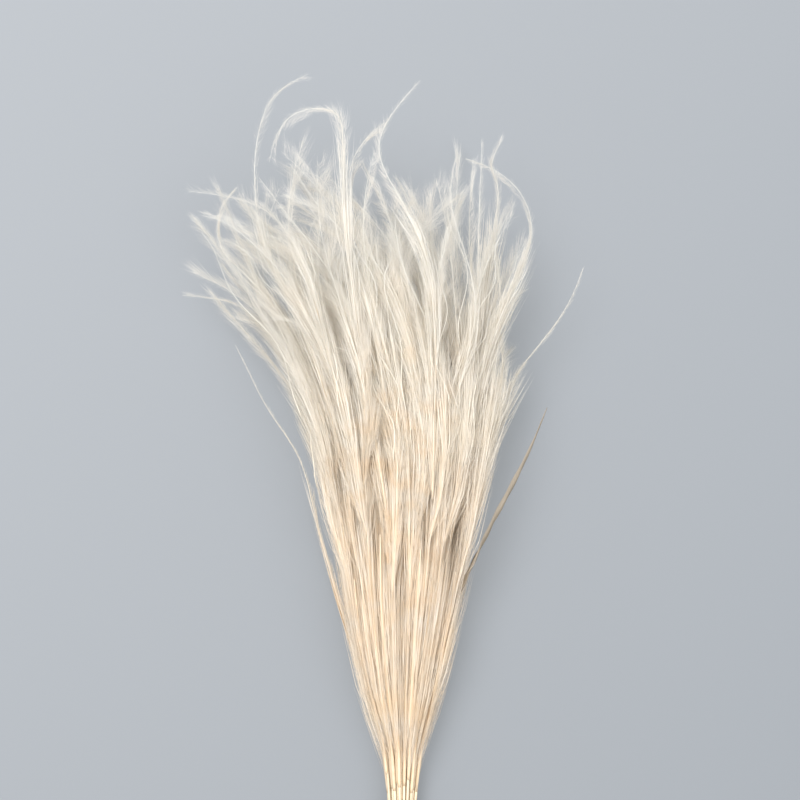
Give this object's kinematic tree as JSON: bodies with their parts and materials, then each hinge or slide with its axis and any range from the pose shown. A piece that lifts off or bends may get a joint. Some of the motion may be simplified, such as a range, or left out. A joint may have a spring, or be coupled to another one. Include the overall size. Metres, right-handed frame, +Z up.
{
  "type": "bundle of feather grass",
  "caption": "Dried feather grass lying as a bundle: slim stems held by a wound twine tie, fanning out into long feathery awns.",
  "frame": {"origin": "middle of the bounding box in x and y, on the surface that the bundle lies on", "axes": "+Y from the cut ends to the feathery tips, +X to the right seen from above with the tips away, +Z up from the surface"},
  "size_m": [0.3215, 0.6722, 0.1155],
  "materials": {
    "dried_grass": "dried, bleached grass, soft and matt",
    "twine": "matt natural jute twine"
  },
  "bodies": {
    "root": {"spray_01": "dried_grass", "spray_02": "dried_grass", "spray_03": "dried_grass", "spray_04": "dried_grass", "spray_05": "dried_grass", "spray_06": "dried_grass", "spray_07": "dried_grass", "spray_08": "dried_grass", "spray_09": "dried_grass", "spray_10": "dried_grass", "spray_11": "dried_grass", "spray_12": "dried_grass", "spray_13": "dried_grass", "spray_14": "dried_grass", "spray_15": "dried_grass", "spray_16": "dried_grass", "spray_17": "dried_grass", "spray_18": "dried_grass", "spray_19": "dried_grass", "spray_20": "dried_grass", "spray_21": "dried_grass", "spray_22": "dried_grass", "spray_23": "dried_grass", "spray_24": "dried_grass", "spray_25": "dried_grass", "spray_26": "dried_grass", "spray_27": "dried_grass", "spray_28": "dried_grass", "spray_29": "dried_grass", "spray_30": "dried_grass", "spray_31": "dried_grass", "spray_32": "dried_grass", "spray_33": "dried_grass", "spray_34": "dried_grass", "spray_35": "dried_grass", "spray_36": "dried_grass", "spray_37": "dried_grass", "spray_38": "dried_grass", "spray_39": "dried_grass", "spray_40": "dried_grass", "spray_41": "dried_grass", "spray_42": "dried_grass", "spray_43": "dried_grass", "spray_44": "dried_grass", "spray_45": "dried_grass", "spray_46": "dried_grass", "spray_47": "dried_grass", "spray_48": "dried_grass", "spray_49": "dried_grass", "spray_50": "dried_grass", "tie": "twine"}
  },
  "joints": []
}
